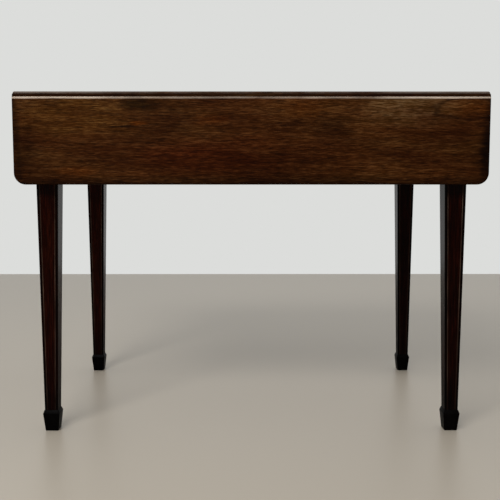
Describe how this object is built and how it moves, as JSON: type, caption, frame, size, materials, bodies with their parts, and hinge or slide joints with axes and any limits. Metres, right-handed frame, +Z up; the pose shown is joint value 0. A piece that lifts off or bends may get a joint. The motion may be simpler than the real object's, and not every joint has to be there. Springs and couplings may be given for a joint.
{
  "type": "pembroke table",
  "caption": "Drop-leaf pembroke table with hinged leaves on rule joints, fly brackets, an end drawer and square tapered legs on spade feet.",
  "frame": {"origin": "on the floor under the middle of the top", "axes": "+X along the leaves towards the drawer end, +Y from the front leaf to the rear leaf, +Z up"},
  "size_m": [0.975, 0.615, 0.72],
  "materials": {
    "mahogany_top": "waxed, satin",
    "mahogany_legs": "dark polish, satin",
    "string_inlay": "stained boxwood, satin",
    "ebonised_wood": "ebonised, satin",
    "beech_fly_rail": "stained beech, dull",
    "pine_carcase": "bare aged pine",
    "oak_lining": "bare aged oak",
    "aged_brass": "aged, turned",
    "wrought_iron": "forged, dull",
    "steel_screw": "oxidised"
  },
  "bodies": {
    "frame": {"fixed_top": "mahogany_top", "leg_front_left": "mahogany_legs", "leg_front_right": "mahogany_legs", "leg_rear_left": "mahogany_legs", "leg_rear_right": "mahogany_legs", "end_rail": "mahogany_legs", "drawer_top_rail": "mahogany_legs", "drawer_bottom_rail": "mahogany_legs", "dummy_cock_bead": "mahogany_legs", "leg_stringing_front_left": "string_inlay", "leg_stringing_front_right": "string_inlay", "leg_stringing_rear_left": "string_inlay", "leg_stringing_rear_right": "string_inlay", "spade_foot_front_left": "ebonised_wood", "spade_foot_front_right": "ebonised_wood", "spade_foot_rear_left": "ebonised_wood", "spade_foot_rear_right": "ebonised_wood", "fly_rail_front": "beech_fly_rail", "fly_rail_rear": "beech_fly_rail", "fly_end_blocks": "beech_fly_rail", "side_rail_front": "pine_carcase", "side_rail_rear": "pine_carcase", "drawer_runner_front": "pine_carcase", "drawer_runner_rear": "pine_carcase", "drawer_kicker_front": "pine_carcase", "drawer_kicker_rear": "pine_carcase", "drawer_stops": "pine_carcase", "dummy_knob": "aged_brass", "hinge_top_plate_front_left": "wrought_iron", "hinge_top_plate_front_right": "wrought_iron", "hinge_top_plate_rear_left": "wrought_iron", "hinge_top_plate_rear_right": "wrought_iron", "hinge_pins": "wrought_iron", "fly_bracket_pins": "wrought_iron", "top_screws": "steel_screw"},
    "front_leaf": {"leaf_front": "mahogany_top", "hinge_leaf_plate_front_left": "wrought_iron", "hinge_leaf_plate_front_right": "wrought_iron"},
    "rear_leaf": {"leaf_rear": "mahogany_top", "hinge_leaf_plate_rear_left": "wrought_iron", "hinge_leaf_plate_rear_right": "wrought_iron"},
    "drawer": {"drawer_front": "mahogany_legs", "drawer_side_front": "oak_lining", "drawer_side_rear": "oak_lining", "drawer_back": "oak_lining", "drawer_bottom": "oak_lining", "drawer_cock_bead": "mahogany_legs", "drawer_knob": "aged_brass"},
    "bracket_front_left": {"fly_bracket_front_left": "beech_fly_rail"},
    "bracket_front_right": {"fly_bracket_front_right": "beech_fly_rail"},
    "bracket_rear_left": {"fly_bracket_rear_left": "beech_fly_rail"},
    "bracket_rear_right": {"fly_bracket_rear_right": "beech_fly_rail"}
  },
  "joints": [
    {"name": "front_leaf_hinge", "type": "hinge", "parent": "frame", "child": "front_leaf", "pos_m": [0, -0.2965, 0.709], "axis": [-1, 0, 0], "range_deg": [0, 90]},
    {"name": "rear_leaf_hinge", "type": "hinge", "parent": "frame", "child": "rear_leaf", "pos_m": [0, 0.2965, 0.709], "axis": [1, 0, 0], "range_deg": [0, 90]},
    {"name": "drawer_slide", "type": "slide", "parent": "frame", "child": "drawer", "axis": [1, 0, 0], "range_m": [0, 0.38]},
    {"name": "bracket_front_left_swing", "type": "hinge", "parent": "frame", "child": "bracket_front_left", "pos_m": [-0.15, -0.266, 0.649], "axis": [0, 0, 1], "range_deg": [0, 4.5]},
    {"name": "bracket_front_right_swing", "type": "hinge", "parent": "frame", "child": "bracket_front_right", "pos_m": [0.15, -0.266, 0.649], "axis": [0, 0, -1], "range_deg": [0, 4.5]},
    {"name": "bracket_rear_left_swing", "type": "hinge", "parent": "frame", "child": "bracket_rear_left", "pos_m": [-0.15, 0.266, 0.649], "axis": [0, 0, -1], "range_deg": [0, 4.5]},
    {"name": "bracket_rear_right_swing", "type": "hinge", "parent": "frame", "child": "bracket_rear_right", "pos_m": [0.15, 0.266, 0.649], "axis": [0, 0, 1], "range_deg": [0, 4.5]}
  ]
}
